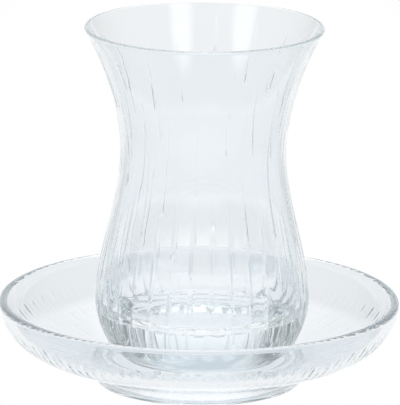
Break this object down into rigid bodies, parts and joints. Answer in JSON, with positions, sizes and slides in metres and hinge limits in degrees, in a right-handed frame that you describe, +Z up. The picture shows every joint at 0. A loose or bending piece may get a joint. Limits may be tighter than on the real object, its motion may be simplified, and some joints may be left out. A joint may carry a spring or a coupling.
{
  "type": "turkish tea glass with saucer",
  "caption": "Clear tulip-shaped tea glass with a flared lip, narrow waist and thick base, standing on a matching round glass saucer; fine upright cuts run round both.",
  "frame": {"origin": "middle of the saucer's foot ring, on the table", "axes": "+Z up along the saucer's axis; the front is -Y; the glass stands 0.8 mm off the saucer's axis towards +X"},
  "size_m": [0.111, 0.111, 0.1006],
  "materials": {
    "tea_glass": "clear polished soda-lime glass with fine upright cuts",
    "saucer_glass": "clear polished soda-lime glass with fine radial cuts underneath"
  },
  "bodies": {
    "root": {"glass": "tea_glass", "saucer": "saucer_glass"}
  },
  "joints": []
}
